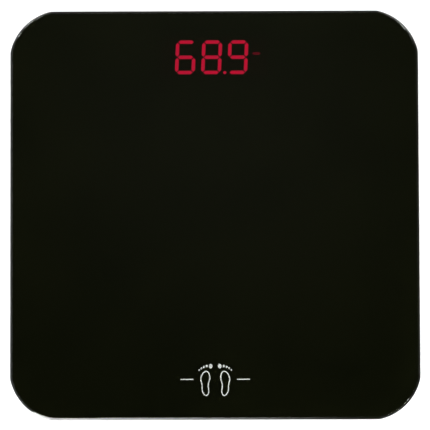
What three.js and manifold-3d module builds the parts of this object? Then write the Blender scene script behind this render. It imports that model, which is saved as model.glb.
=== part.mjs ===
// Digital bathroom scale: a square tempered-glass platform on four load-cell feet, with the LED
// display, its circuit board and three AAA cells in one flat housing glued under the far edge.
// Millimetres, +Z up, +X to the right, +Y towards the display edge. The origin is on the floor,
// under the middle of the platform.
import * as THREE from 'three';
import { mergeVertices } from 'three/addons/utils/BufferGeometryUtils.js';
import Module from 'manifold-3d';

const wasm = await Module();
wasm.setup();
const DEG = Math.PI / 180;

// ---- Driving dimensions --------------------------------------------------------------------
// Platform glass and the black print on its back.
const platformWidth = 300;
const platformDepth = 300;
const glassThickness = 6;
const cornerRadius = 38.5;
const cornerKink = 11.6 * DEG; // the ground corner meets each side at this angle
const arris = 1.5; // polished chamfer on both edges of the glass
const printThickness = 0.3;
const printInset = 1.2; // bare glass left round the print

// Load-cell feet.
const podInset = 38; // from the platform's sides to the middle of a foot
const podRadius = 30;
const podHeight = 12.8; // ring and housing together
const podWall = 2;
const podRoof = 1.8;
const ringThickness = 1.6;
const ringSpigotWall = 1.5;
const ringSpigotHeight = 3;
const footPadRadius = 19;
const footPadThickness = 2.2;
const footCapRadius = 21.5;
const footCapWall = 1.8;
const footFlange = 2.6; // how far the flange that keeps the foot in stands out
const footFlangeThickness = 1.5;
const footBossRadius = 5;
const footRibThickness = 1.4;
const footDrop = 2.2; // foot cap showing below the ring
const footTravel = 0.6;
const cellSide = 34;
const cellThickness = 2.5;
const cellCornerRadius = 3;
const tongueWidth = 11;
const tongueLength = 21;
const tongueSlot = 2.2;
const tongueRoom = 1.8; // left over the tongue when its foot is fully pressed
const cellPostRadius = 2.4;
const gaugeLength = 7;
const gaugeWidth = 8;
const gaugeThickness = 0.8;

// Leads, clips and wires.
const leadRadius = 1;
const wireRadius = 0.6;
const clipLength = 7;
const clipWidth = 7;
const clipLip = 0.9;

// Display and battery housing.
const housingHalfWidth = 58;
const housingCornerRadius = 6;
const housingWall = 1.8;
const housingRoof = 1.6;
const housingFloorGap = 3; // from the floor up to the cover's outer face
const coverThickness = 1.6;
const coverLipWall = 1.2;
const coverLipHeight = 1.6;
const bayWall = 1.5;
const partingGap = 1.5; // between the battery bay and the display
const farMargin = 3.4; // from the display to the housing's far wall
const nearMargin = 3; // from the battery bay to the housing's near wall

// LED display: three full digits after a leading one.
const digitHeight = 25.4;
const digitWidth = 15.1;
const digitPitch = 19.3;
const digitLean = 2.5 * DEG;
const segmentWidth = 2.9;
const segmentGap = 0.35;
const middleDigitX = -1.9;
const digitsFromFarEdge = 33.9; // from the glass edge to the middle of the digits
const displayHalfWidth = 41;
const displayMargin = 3.9; // above and below the digits
const boardHalfWidth = 46.5;
const boardThickness = 1.6;
const diffuserThickness = 0.3;
const componentSpace = 3; // between the cover and the board

// AAA cells and their contacts.
const cellLength = 43.7;
const cellRadius = 5.25;
const nippleRadius = 1.9;
const nippleLength = 0.8;
const cellPitch = 11.4;
const cellSideGap = 0.85; // between the outer cells and the bay's walls
const springLength = 4.9;
const springWire = 0.4;
const springTurns = 3.5;
const contactThickness = 0.3;
const contactSide = 8.6;

// Battery door, unit button and screws.
const doorTabLength = 2.6;
const doorTabWidth = 6;
const doorTabThickness = 0.8;
const doorTabSpacing = 30;
const latchWidth = 12;
const latchLength = 8;
const latchSlot = 1;
const doorOpeningMargin = 0.6; // the opening is this much larger than the bay
const buttonRadius = 4;
const buttonStand = 0.4; // how far the button stands out of the cover
const buttonFlange = 1.2;
const buttonTravel = 0.4;
const switchSide = 6;
const switchHeight = 1.6;
const plungerRadius = 1.7;
const screwHeadRadius = 2.6;
const screwHeadHeight = 1.4;
const screwShankRadius = 1.2;
const screwLength = 9;
const postWall = 1.7;

// Named clearances.
const fit = 0.3; // between neighbouring mouldings
const slip = 0.1; // between sliding faces
const play = 0.6; // round a foot in its ring

// ---- Levels and places that follow ---------------------------------------------------------
const ringBottom = footPadThickness + footDrop;
const podBottom = ringBottom + ringThickness;
const underside = ringBottom + podHeight; // the print's lower face
const glassBottom = underside + printThickness;
const podRoofZ = underside - podRoof;
const cellTop = podRoofZ - footTravel - tongueRoom;
const cellBottom = cellTop - cellThickness;
const leadZ = cellTop + leadRadius + 0.2;
const podX = platformWidth / 2 - podInset;
const podY = platformDepth / 2 - podInset;

const coverBottom = housingFloorGap;
const coverTop = coverBottom + coverThickness;
const housingRoofZ = underside - housingRoof;
const boardBottom = coverTop + componentSpace;
const boardTop = boardBottom + boardThickness;
const displayTop = underside - diffuserThickness;
const digitsY = platformDepth / 2 - digitsFromFarEdge;
const displayNear = digitsY - digitHeight / 2 - displayMargin;
const displayFar = digitsY + digitHeight / 2 + displayMargin;
const housingFar = displayFar + farMargin + housingWall;
const bayFar = displayNear - partingGap - bayWall - doorTabLength;
const bayDepth = 2 * (cellPitch + cellRadius + cellSideGap);
const bayNear = bayFar - bayDepth;
const housingNear = bayNear - bayWall - nearMargin - housingWall;
const cellsLength = cellLength + nippleLength;
const bayHalfWidth = (cellsLength + springLength) / 2 + contactThickness;
const batteryZ = coverTop + fit + cellRadius;
const batteryY = (i) => (bayNear + bayFar) / 2 + (i - 1) * cellPitch;
const buttonX = 40;
const buttonY = displayNear + 8;
const screwX = housingHalfWidth - 7.5;
const screwYs = [housingNear + 7, housingFar - 7];

// ---- Shape helpers -------------------------------------------------------------------------
// A closed geometry as a solid, with shared vertices merged and its faces turned outwards.
function solid(geometry) {
  const bare = geometry.index ? geometry.toNonIndexed() : geometry;
  bare.deleteAttribute('normal');
  bare.deleteAttribute('uv');
  const merged = mergeVertices(bare, 1e-4);
  const p = merged.attributes.position;
  const faces = [];
  let volume = 0;
  const [a, b, c] = [new THREE.Vector3(), new THREE.Vector3(), new THREE.Vector3()];
  for (let i = 0; i < merged.index.count; i += 3) {
    const tri = [0, 1, 2].map((k) => merged.index.getX(i + k));
    if (new Set(tri).size < 3) continue;
    [a, b, c].forEach((v, k) => v.fromBufferAttribute(p, tri[k]));
    volume += a.dot(b.cross(c));
    faces.push(tri);
  }
  if (volume < 0) faces.forEach((tri) => tri.reverse());
  return new wasm.Manifold(new wasm.Mesh({
    numProp: 3,
    vertProperties: new Float32Array(p.array),
    triVerts: new Uint32Array(faces.flat()),
  }));
}

const join = (first, ...others) => others.reduce((whole, part) => whole.add(part), first);
const cut = (first, ...tools) => tools.reduce((whole, tool) => whole.subtract(tool), first);

function box(x0, x1, y0, y1, z0, z1) {
  const g = new THREE.BoxGeometry(x1 - x0, y1 - y0, z1 - z0);
  return solid(g.translate((x0 + x1) / 2, (y0 + y1) / 2, (z0 + z1) / 2));
}

function plate(shape, z0, z1, curveSegments = 3) {
  const g = new THREE.ExtrudeGeometry(shape, { depth: z1 - z0, bevelEnabled: false, curveSegments });
  return solid(g.translate(0, 0, z0));
}

function disc(x, y, radius, z0, z1, sides = 32) {
  const g = new THREE.CylinderGeometry(radius, radius, z1 - z0, sides).rotateX(Math.PI / 2);
  return solid(g.translate(x, y, (z0 + z1) / 2));
}

// A profile of [radius, height] points turned about the vertical through x, y.
function turned(x, y, profile, sides = 32) {
  const points = profile.map(([r, h]) => new THREE.Vector2(r, h));
  const g = new THREE.LatheGeometry(points, sides).rotateX(Math.PI / 2);
  return solid(g.translate(x, y, 0));
}

function roundedRectangle(x0, x1, y0, y1, r) {
  const s = new THREE.Shape();
  s.moveTo(x0 + r, y0);
  s.lineTo(x1 - r, y0);
  s.absarc(x1 - r, y0 + r, r, -Math.PI / 2, 0);
  s.lineTo(x1, y1 - r);
  s.absarc(x1 - r, y1 - r, r, 0, Math.PI / 2);
  s.lineTo(x0 + r, y1);
  s.absarc(x0 + r, y1 - r, r, Math.PI / 2, Math.PI);
  s.lineTo(x0, y0 + r);
  s.absarc(x0 + r, y0 + r, r, Math.PI, 1.5 * Math.PI);
  s.closePath();
  return s;
}

// A round bar along a smooth curve through the points.
function bar(points, radius, steps, sides = 6) {
  const path = new THREE.CatmullRomCurve3(points.map((p) => new THREE.Vector3(...p)), false, 'centripetal');
  const section = new THREE.Shape();
  for (let i = 0; i <= sides; i += 1) {
    const angle = (i / sides) * 2 * Math.PI;
    section[i ? 'lineTo' : 'moveTo'](radius * Math.cos(angle), radius * Math.sin(angle));
  }
  return solid(new THREE.ExtrudeGeometry(section, { extrudePath: path, steps, bevelEnabled: false }));
}

// ---- The exported group --------------------------------------------------------------------
const scale = new THREE.Group();
const finishes = {
  glass: { color: 0x22251f, roughness: 0.05, metalness: 0 },
  print: { color: 0x0b0b09, roughness: 0.5, metalness: 0 },
  filter: { color: 0x1a0506, roughness: 0.3, metalness: 0 },
  housing: { color: 0x1d1d1c, roughness: 0.6, metalness: 0 },
  rubber: { color: 0x2a2a29, roughness: 0.85, metalness: 0 },
  steel: { color: 0xb9bab6, roughness: 0.35, metalness: 0.9 },
  board: { color: 0x1f5a34, roughness: 0.5, metalness: 0 },
  reflector: { color: 0x161616, roughness: 0.6, metalness: 0 },
  diffuser: { color: 0xc81232, roughness: 0.5, metalness: 0 },
  epoxy: { color: 0x111111, roughness: 0.35, metalness: 0 },
  gauge: { color: 0xe9e6dc, roughness: 0.7, metalness: 0 },
  lead: { color: 0x2b2b2b, roughness: 0.6, metalness: 0 },
  wireRed: { color: 0xb81f1a, roughness: 0.5, metalness: 0 },
  battery: { color: 0x2c4f7a, roughness: 0.35, metalness: 0.3 },
  capacitor: { color: 0xc98b2c, roughness: 0.5, metalness: 0 },
};
const materials = Object.fromEntries(
  Object.entries(finishes).map(([name, look]) => [name, new THREE.MeshStandardMaterial(look)]),
);

function add(name, body, finish) {
  const { vertProperties, triVerts, numProp } = body.getMesh();
  const positions = [];
  for (let i = 0; i < vertProperties.length; i += numProp) positions.push(...vertProperties.slice(i, i + 3));
  const geometry = new THREE.BufferGeometry();
  geometry.setAttribute('position', new THREE.Float32BufferAttribute(positions, 3));
  geometry.setIndex([...triVerts]);
  const mesh = new THREE.Mesh(geometry, materials[finish]);
  mesh.name = name;
  scale.add(mesh);
}

// ---- Platform glass, print and display filter ----------------------------------------------
// The platform's outline, drawn in by inset. Each corner is an arc that crosses its two sides
// at the kink angle instead of running into them.
function platformOutline(inset) {
  const r = cornerRadius - inset;
  const centreIn = r * Math.cos(cornerKink) + inset;
  const [cx, cy] = [platformWidth / 2 - centreIn, platformDepth / 2 - centreIn];
  const s = new THREE.Shape();
  [[1, 1], [-1, 1], [-1, -1], [1, -1]].forEach(([sx, sy], i) => {
    const start = i * 90 * DEG + cornerKink;
    const end = (i + 1) * 90 * DEG - cornerKink;
    const [x, y] = [sx * cx + r * Math.cos(start), sy * cy + r * Math.sin(start)];
    s[i ? 'lineTo' : 'moveTo'](x, y);
    s.absarc(sx * cx, sy * cy, r, start, end);
  });
  s.closePath();
  return s;
}

function addPlatform() {
  const glass = new THREE.ExtrudeGeometry(platformOutline(0), {
    depth: glassThickness - 2 * arris,
    bevelThickness: arris,
    bevelSize: arris,
    bevelOffset: -arris,
    bevelSegments: 1,
    curveSegments: 9,
  });
  add('glass_platform', solid(glass.translate(0, 0, glassBottom + arris)), 'glass');

  const window = [-displayHalfWidth + 2, displayHalfWidth - 2, displayNear + 2, displayFar - 2, 2];
  const print = plate(platformOutline(arris + printInset), underside, glassBottom, 9);
  add('back_print', cut(print, plate(roundedRectangle(...window), underside - 1, glassBottom + 1)), 'print');
  const [x0, x1, y0, y1, r] = window;
  const pane = roundedRectangle(x0 + slip, x1 - slip, y0 + slip, y1 - slip, r - slip);
  add('display_filter', plate(pane, underside, glassBottom), 'filter');
}

// ---- Load-cell feet ------------------------------------------------------------------------
// A foot is drawn at the origin with its lead leaving along +X, then turned and put in its corner.
const feet = [
  { name: 'front_left', sx: -1, sy: -1, turn: 90 },
  { name: 'front_right', sx: 1, sy: -1, turn: 90 },
  { name: 'back_left', sx: -1, sy: 1, turn: 0 },
  { name: 'back_right', sx: 1, sy: 1, turn: 180 },
];
const placed = (body, { sx, sy, turn }) => body.rotate([0, 0, turn]).translate([sx * podX, sy * podY, 0]);

function podHousing() {
  const inner = podRadius - podWall;
  const cup = turned(0, 0, [
    [0, podRoofZ], [inner, podRoofZ], [inner, podBottom],
    [podRadius, podBottom], [podRadius, underside], [0, underside],
  ]);
  const postAt = cellSide / 2 - cellCornerRadius - 0.4;
  const posts = [[1, 1], [-1, 1], [-1, -1], [1, -1]].map(([sx, sy]) => (
    disc(sx * postAt, sy * postAt, cellPostRadius, cellTop, podRoofZ + 1, 10)
  ));
  const notch = leadRadius + fit;
  return cut(join(cup, ...posts), box(inner - 2, podRadius + 1, -notch, notch, leadZ - notch, leadZ + notch));
}

// The snap-in ring closes the pod from below and keeps the foot from dropping out.
function podRing() {
  const hole = footCapRadius + play;
  const spigot = podRadius - podWall - fit;
  return turned(0, 0, [
    [hole, ringBottom], [podRadius, ringBottom], [podRadius, podBottom], [spigot, podBottom],
    [spigot, podBottom + ringSpigotHeight], [spigot - ringSpigotWall, podBottom + ringSpigotHeight],
    [spigot - ringSpigotWall, podBottom], [hole, podBottom], [hole, ringBottom],
  ]);
}

// Stamped half-bridge cell: a square steel frame round a tongue that the foot bends upwards.
function loadCell() {
  const half = cellSide / 2;
  const frame = plate(roundedRectangle(-half, half, -half, half, cellCornerRadius), cellBottom, cellTop, 3);
  const root = tongueLength / 2 + 1;
  const tip = root - tongueLength;
  const edge = tongueWidth / 2;
  const slots = [-1, 1].map((s) => box(
    tip - tongueSlot, root,
    Math.min(s * edge, s * (edge + tongueSlot)), Math.max(s * edge, s * (edge + tongueSlot)),
    cellBottom - 1, cellTop + 1,
  ));
  return cut(frame, ...slots, box(tip - tongueSlot, tip, -edge - 1, edge + 1, cellBottom - 1, cellTop + 1));
}

function strainGauge() {
  const x1 = tongueLength / 2;
  const patch = roundedRectangle(x1 - gaugeLength, x1, -gaugeWidth / 2, gaugeWidth / 2, 1.5);
  return plate(patch, cellTop, cellTop + gaugeThickness, 3);
}

function footCap() {
  const floorZ = footPadThickness + footCapWall;
  const flangeZ = podBottom + slip;
  const flangeTop = flangeZ + footFlangeThickness;
  const inner = footCapRadius - footCapWall;
  const cup = turned(0, 0, [
    [0, footPadThickness], [footCapRadius - 1, footPadThickness], [footCapRadius, footPadThickness + 1],
    [footCapRadius, flangeZ], [footCapRadius + footFlange, flangeZ], [footCapRadius + footFlange, flangeTop],
    [inner, flangeTop], [inner, floorZ],
    [footBossRadius, floorZ], [footBossRadius, cellBottom], [0, cellBottom],
  ]);
  const ribs = [0, 90].map((turn) => (
    box(-inner - 0.5, inner + 0.5, -footRibThickness / 2, footRibThickness / 2, floorZ - 0.5, flangeZ)
      .rotate([0, 0, turn + 45])
  ));
  return join(cup, ...ribs);
}

function footPad() {
  return turned(0, 0, [
    [0, 0], [footPadRadius - 0.6, 0], [footPadRadius, 0.6], [footPadRadius, footPadThickness],
    [0, footPadThickness],
  ], 36);
}

function addFeet() {
  feet.forEach((foot) => {
    add(`pod_housing_${foot.name}`, placed(podHousing(), foot), 'housing');
    add(`pod_ring_${foot.name}`, placed(podRing(), foot), 'housing');
    add(`load_cell_${foot.name}`, placed(loadCell(), foot), 'steel');
    add(`strain_gauge_${foot.name}`, placed(strainGauge(), foot), 'gauge');
    add(`foot_cap_${foot.name}`, placed(footCap(), foot), 'housing');
    add(`foot_pad_${foot.name}`, placed(footPad(), foot), 'rubber');
  });
}

// ---- Sensor leads and their clips ----------------------------------------------------------
// Where a lead passes the housing's side wall, measured from the digits' middle line.
const leadEntryY = { front: digitsY - 11, back: podY };
const leadStart = tongueLength / 2 + fit;

// The last stretch of a lead, from the housing's wall down onto the board's end.
function leadTail(side, y) {
  const onBoard = boardTop + leadRadius + slip;
  return [
    [side * (housingHalfWidth + 6), y, leadZ],
    [side * (housingHalfWidth - housingWall - 2), y, leadZ],
    [side * (boardHalfWidth + 3.2), y, (leadZ + onBoard) / 2],
    [side * (boardHalfWidth - 0.6), y, onBoard + 0.2],
    [side * (displayHalfWidth + 1.4), y, onBoard],
  ];
}

// A long lead leaves its pod straight, then bends gently over to the housing. spot gives its
// place at a share t of that bend.
function frontRoute(side) {
  const from = { x: podX, y: -podY + podRadius + 4 };
  const to = { x: housingHalfWidth + 14, y: leadEntryY.front - 6 };
  const spot = (t) => [side * (from.x + (to.x - from.x) * t * t), from.y + (to.y - from.y) * t, leadZ];
  const bend = [0, 0.15, 0.3, 0.45, 0.6, 0.75, 0.88, 1].map(spot);
  const start = [side * podX, -podY + leadStart, leadZ];
  return { spot, points: [start, ...bend, ...leadTail(side, leadEntryY.front)] };
}

const clipAt = 0.45;

function leadClip() {
  const channel = leadRadius + fit;
  const [w, l] = [clipWidth / 2, clipLength / 2];
  return cut(
    box(-w, w, -l, l, leadZ - channel - clipLip, underside),
    box(-channel, channel, -clipLength, clipLength, leadZ - channel, leadZ + channel),
    box(-leadRadius * 0.8, leadRadius * 0.8, -clipLength, clipLength, leadZ - 2 * channel - clipLip, leadZ),
  );
}

function addLeads() {
  [-1, 1].forEach((side) => {
    const hand = side < 0 ? 'left' : 'right';
    const back = [
      [side * (podX - leadStart), podY, leadZ],
      [side * (podX - podRadius - 4), podY, leadZ],
      ...leadTail(side, leadEntryY.back),
    ];
    add(`sensor_lead_back_${hand}`, bar(back, leadRadius, 18), 'lead');

    const { spot, points } = frontRoute(side);
    add(`sensor_lead_front_${hand}`, bar(points, leadRadius, 40), 'lead');
    const [x0, y0] = spot(clipAt - 0.01);
    const [x1, y1] = spot(clipAt + 0.01);
    const heading = Math.atan2(y1 - y0, x1 - x0) / DEG - 90;
    const [x, y] = spot(clipAt);
    add(`lead_clip_${hand}`, leadClip().rotate([0, 0, heading]).translate([x, y, 0]), 'housing');
  });
}

// ---- Display and battery housing -----------------------------------------------------------
const housingOutline = (inset) => roundedRectangle(
  -housingHalfWidth + inset, housingHalfWidth - inset,
  housingNear + inset, housingFar - inset, housingCornerRadius - inset,
);
const postRadius = screwShankRadius + fit + postWall;
const postBottom = coverTop + coverLipHeight;

function addHousing() {
  const shell = cut(
    plate(housingOutline(0), coverTop, underside),
    plate(housingOutline(housingWall), coverTop - 1, housingRoofZ),
  );
  const w = bayHalfWidth + bayWall;
  const bay = cut(
    box(-w, w, bayNear - bayWall, bayFar + bayWall, coverTop + fit, housingRoofZ + 0.5),
    box(-bayHalfWidth, bayHalfWidth, bayNear, bayFar, coverTop - 1, housingRoofZ),
  );
  const posts = [];
  const screwHoles = [];
  [-screwX, screwX].forEach((x) => screwYs.forEach((y) => {
    posts.push(disc(x, y, postRadius, postBottom, housingRoofZ + 0.5, 16));
    screwHoles.push(disc(x, y, screwShankRadius + fit, postBottom - 1, postBottom + screwLength, 12));
  }));
  const window = box(
    -displayHalfWidth - fit, displayHalfWidth + fit, displayNear - fit, displayFar + fit,
    housingRoofZ - 1, underside + 1,
  );
  const notch = leadRadius + fit;
  const leadNotches = [];
  Object.values(leadEntryY).forEach((y) => [-1, 1].forEach((side) => {
    const x = side * housingHalfWidth;
    leadNotches.push(box(x - 4, x + 4, y - notch, y + notch, leadZ - notch, leadZ + notch));
  }));
  const tabSlots = [-1, 1].map((side) => {
    const x = (side * doorTabSpacing) / 2;
    const half = doorTabWidth / 2 + fit;
    return box(x - half, x + half, bayFar - 0.5, bayFar + bayWall + 0.5, coverTop, coverTop + 4.5);
  });
  const terminalSlots = terminals.filter((t) => t.tabbed).map(({ side, rows }) => {
    const x = side * bayHalfWidth;
    const y = batteryY(rows[0]);
    return box(
      Math.min(x, x + side * 2) - fit, Math.max(x, x + side * 2) + fit,
      y - tabHalf - fit, y + tabHalf + fit, tabZ - 1, tabZ + 1,
    );
  });
  const frame = cut(
    join(shell, bay, ...posts), window, ...screwHoles, ...leadNotches, ...tabSlots, ...terminalSlots,
  );
  add('housing_frame', frame, 'housing');

  const lipOut = housingWall + fit;
  const lip = cut(
    plate(housingOutline(lipOut), coverTop - 0.5, coverTop + coverLipHeight),
    plate(housingOutline(lipOut + coverLipWall), coverTop - 1, coverTop + coverLipHeight + 1),
  );
  const bosses = [];
  const holes = [];
  [-screwX, screwX].forEach((x) => screwYs.forEach((y) => {
    bosses.push(disc(x, y, postRadius, coverTop - 0.5, postBottom, 16));
    holes.push(disc(x, y, screwHeadRadius + fit, coverBottom - 1, coverBottom + fit + screwHeadHeight, 16));
    holes.push(disc(x, y, screwShankRadius + fit, coverBottom - 1, postBottom + 1, 12));
  }));
  const opening = doorOpening();
  const scoop = turned(0, opening.y0 - 1, [[0, coverBottom - 1], [7, coverBottom - 1], [5, coverBottom + 0.9],
    [0, coverBottom + 0.9]], 24);
  const cover = cut(
    join(plate(housingOutline(0), coverBottom, coverTop), lip, ...bosses),
    ...holes,
    box(opening.x0, opening.x1, opening.y0, opening.y1, coverBottom - 1, coverTop + 1),
    scoop,
    disc(buttonX, buttonY, buttonRadius + fit, coverBottom - 1, coverTop + 1, 24),
  );
  add('housing_cover', cover, 'housing');
}

// The opening that the battery door fills: the bay and a little more.
function doorOpening() {
  const more = doorOpeningMargin;
  return { x0: -bayHalfWidth - more, x1: bayHalfWidth + more, y0: bayNear - more, y1: bayFar + more + 0.2 };
}

function addDoor() {
  const { x0, x1, y0, y1 } = doorOpening();
  const gap = fit + 0.05;
  const panel = box(x0 + gap, x1 - gap, y0 + gap, y1 - gap, coverBottom, coverTop);
  const tabs = [-1, 1].map((side) => {
    const x = (side * doorTabSpacing) / 2;
    const half = doorTabWidth / 2;
    const z = coverTop + 0.15;
    return join(
      box(x - half, x + half, y1 - gap - 1.6, y1 + doorTabLength, z, z + doorTabThickness),
      box(x - half, x + half, y1 - gap - 1.6, y1 - gap, coverTop - 0.5, z + doorTabThickness),
    );
  });
  const slots = [-1, 1].map((side) => {
    const x = (side * (latchWidth + latchSlot)) / 2;
    const half = latchSlot / 2;
    return box(x - half, x + half, y0 - 1, y0 + gap + latchLength, coverBottom - 1, coverTop + 1);
  });
  const grooves = [0, 1, 2].map((i) => {
    const half = latchWidth / 2 - 2;
    const y = y0 + 2.2 + i * 1.8;
    return box(-half, half, y, y + 0.8, coverBottom - 1, coverBottom + 0.4);
  });
  add('battery_door', cut(join(panel, ...tabs), ...slots, ...grooves), 'housing');
}

function addScrews() {
  let number = 1;
  [-screwX, screwX].forEach((x) => screwYs.forEach((y) => {
    const headBottom = coverBottom + fit;
    const headTop = headBottom + screwHeadHeight;
    const screw = turned(x, y, [
      [0, headBottom], [screwHeadRadius - 0.5, headBottom], [screwHeadRadius, headBottom + 0.6],
      [screwHeadRadius, headTop], [screwShankRadius, headTop], [screwShankRadius, headTop + screwLength - 1],
      [0, headTop + screwLength],
    ], 12);
    const recess = [0, 90].map((turn) => box(-1.4, 1.4, -0.3, 0.3, headBottom - 1, headBottom + 0.8)
      .rotate([0, 0, turn]).translate([x, y, 0]));
    add(`cover_screw_${number}`, cut(screw, ...recess), 'steel');
    number += 1;
  }));
}

// ---- Cells and contacts --------------------------------------------------------------------
// Every other cell is turned round. rows are the cells a contact touches, and sprung says which
// of them meet it with their flat end, on a coil spring.
const terminals = [
  { name: 'contact_positive', side: 1, rows: [0], sprung: [], tabbed: true },
  { name: 'contact_link_right', side: 1, rows: [1, 2], sprung: [1], tabbed: false },
  { name: 'contact_link_left', side: -1, rows: [0, 1], sprung: [0], tabbed: false },
  { name: 'contact_negative', side: -1, rows: [2], sprung: [2], tabbed: true },
];
const tabHalf = 1.5;
const tabZ = batteryZ + 2.4;

function coilSpring(side, y) {
  const turnSteps = 8;
  const count = Math.round(springTurns * turnSteps);
  const far = springLength - springWire - slip;
  const points = [];
  for (let i = 0; i <= count; i += 1) {
    const t = i / count;
    const angle = (i / turnSteps) * 2 * Math.PI;
    const r = 3.2 - 1.2 * t;
    const x = side * (bayHalfWidth - contactThickness - t * far);
    points.push([x, y + r * Math.cos(angle), batteryZ + r * Math.sin(angle)]);
  }
  return bar(points, springWire, count, 4);
}

function addCells() {
  [0, 1, 2].forEach((row) => {
    const profile = [
      [0, 0], [cellRadius - 0.4, 0], [cellRadius, 0.4], [cellRadius, cellLength - 0.5],
      [cellRadius - 0.5, cellLength], [nippleRadius, cellLength],
      [nippleRadius, cellsLength], [0, cellsLength],
    ];
    const away = row === 1 ? -1 : 1; // the way its nipple points
    const x = away * (bayHalfWidth - contactThickness - cellsLength);
    const cell = turned(0, 0, profile, 20).rotate([0, away * 90, 0]).translate([x, batteryY(row), batteryZ]);
    add(`battery_${row + 1}`, cell, 'battery');
  });
  terminals.forEach(({ name, side, rows, sprung, tabbed }) => {
    const ys = rows.map(batteryY);
    const outer = side * bayHalfWidth;
    const inner = side * (bayHalfWidth - contactThickness);
    let contact = box(
      Math.min(outer, inner), Math.max(outer, inner), Math.min(...ys) - contactSide / 2,
      Math.max(...ys) + contactSide / 2, batteryZ - contactSide / 2, batteryZ + contactSide / 2,
    );
    if (tabbed) {
      const tip = outer + side * (bayWall + 2);
      contact = contact.add(box(
        Math.min(inner, tip), Math.max(inner, tip), ys[0] - tabHalf, ys[0] + tabHalf,
        tabZ - contactThickness / 2, tabZ + contactThickness / 2,
      ));
    }
    sprung.forEach((row) => { contact = contact.add(coilSpring(side, batteryY(row))); });
    add(name, contact, 'steel');
  });
  const onTab = bayHalfWidth + bayWall + 2 + fit;
  const wireEnd = boardBottom - wireRadius - slip;
  const runs = { red: [1, batteryY(0), 12], black: [-1, batteryY(2), 5] };
  Object.entries(runs).forEach(([colour, [side, y, bow]]) => {
    const points = [
      [side * onTab, y, tabZ], [side * (onTab + 4), y + 2, tabZ - 1], [side * (onTab + 6), y + bow, tabZ - 3],
      [side * (onTab + 5), displayNear - 5, wireEnd + 0.4], [side * (onTab + 4), displayNear + 1, wireEnd],
      [side * (onTab + 2), displayNear + 5, wireEnd],
    ];
    add(`battery_wire_${colour}`, bar(points, wireRadius, 18), colour === 'red' ? 'wireRed' : 'lead');
  });
}

// ---- Circuit board, display and switch -----------------------------------------------------
// The outline of one segment between two corners of a digit, pointed at both ends.
function segmentShape(digitX, [ax, ay], [bx, by]) {
  const half = segmentWidth / 2;
  const [hx, hy] = [(digitWidth - segmentWidth) / 2, (digitHeight - segmentWidth) / 2];
  const a = new THREE.Vector2(ax * hx, ay * hy);
  const b = new THREE.Vector2(bx * hx, by * hy);
  const along = b.clone().sub(a).normalize();
  const across = new THREE.Vector2(-along.y, along.x).multiplyScalar(half);
  const corner = (end, back, side) => end.clone().addScaledVector(along, back).addScaledVector(across, side);
  const outline = [
    corner(a, segmentGap, 0), corner(a, segmentGap + half, -1), corner(b, -segmentGap - half, -1),
    corner(b, -segmentGap, 0), corner(b, -segmentGap - half, 1), corner(a, segmentGap + half, 1),
  ];
  return new THREE.Shape(outline.map(({ x, y }) => (
    new THREE.Vector2(digitX + x + y * Math.tan(digitLean), digitsY + y)
  )));
}

const segments = [
  [[-1, 1], [1, 1]], [[1, 1], [1, 0]], [[1, 0], [1, -1]], [[-1, -1], [1, -1]],
  [[-1, 0], [-1, -1]], [[-1, 1], [-1, 0]], [[-1, 0], [1, 0]],
];
const rightHandPair = [1, 2]; // the two segments of the leading one

function addElectronics() {
  const board = box(-boardHalfWidth, boardHalfWidth, displayNear, displayFar + 1.6, boardBottom, boardTop);
  add('main_board', board, 'board');

  const block = box(-displayHalfWidth, displayHalfWidth, displayNear, displayFar, boardTop, displayTop);
  const wellFloor = boardTop + 1;
  const wells = [];
  [-1, 0, 1].forEach((place) => segments.forEach(([a, b]) => {
    wells.push(plate(segmentShape(middleDigitX + place * digitPitch, a, b), wellFloor, displayTop + 1));
  }));
  rightHandPair.forEach((i) => wells.push(
    plate(segmentShape(middleDigitX - 2 * digitPitch, ...segments[i]), wellFloor, displayTop + 1),
  ));
  const pointX = middleDigitX + digitPitch / 2;
  const pointY = digitsY - digitHeight / 2 + 1.3;
  wells.push(disc(pointX, pointY, 1.2, wellFloor, displayTop + 1, 12));
  add('led_reflector', cut(block, ...wells), 'reflector');
  add('led_diffuser', box(
    -displayHalfWidth, displayHalfWidth, displayNear, displayFar, displayTop, underside,
  ), 'diffuser');

  const blob = turned(-12, displayNear + 16, [
    [0, boardBottom], [7.5, boardBottom], [6.6, boardBottom - 0.7],
    [4, boardBottom - 1.3], [0, boardBottom - 1.5],
  ], 24);
  add('controller_chip', blob, 'epoxy');
  const can = new THREE.CapsuleGeometry(1.1, 5, 3, 12).rotateZ(Math.PI / 2);
  add('crystal', solid(can.translate(4, displayNear + 20, boardBottom - 1.1 - slip)), 'steel');
  add('buffer_capacitor', box(
    12, 19.3, displayNear + 15, displayNear + 19.3, boardBottom - 2.6, boardBottom,
  ), 'capacitor');

  const switchBottom = boardBottom - switchHeight;
  const half = switchSide / 2;
  const [x0, x1, y0, y1] = [buttonX - half, buttonX + half, buttonY - half, buttonY + half];
  const housing = box(x0, x1, y0, y1, switchBottom, boardBottom);
  const boreTop = switchBottom + 2 * fit + buttonTravel + slip;
  const bore = disc(buttonX, buttonY, plungerRadius + slip, switchBottom - 1, boreTop, 16);
  add('switch_body', cut(housing, bore), 'epoxy');
  const flangeBottom = coverTop + slip;
  const flangeTop = flangeBottom + 0.6;
  add('switch_plunger', disc(
    buttonX, buttonY, plungerRadius, flangeTop, switchBottom + fit, 16,
  ), 'housing');
  const top = coverBottom - buttonStand;
  add('unit_button', turned(buttonX, buttonY, [
    [0, top], [buttonRadius - 0.5, top], [buttonRadius, top + 0.5], [buttonRadius, flangeBottom],
    [buttonRadius + buttonFlange, flangeBottom], [buttonRadius + buttonFlange, flangeTop], [0, flangeTop],
  ], 24), 'housing');
}

addPlatform();
addFeet();
addLeads();
addHousing();
addDoor();
addScrews();
addCells();
addElectronics();

export default scale;
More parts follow.
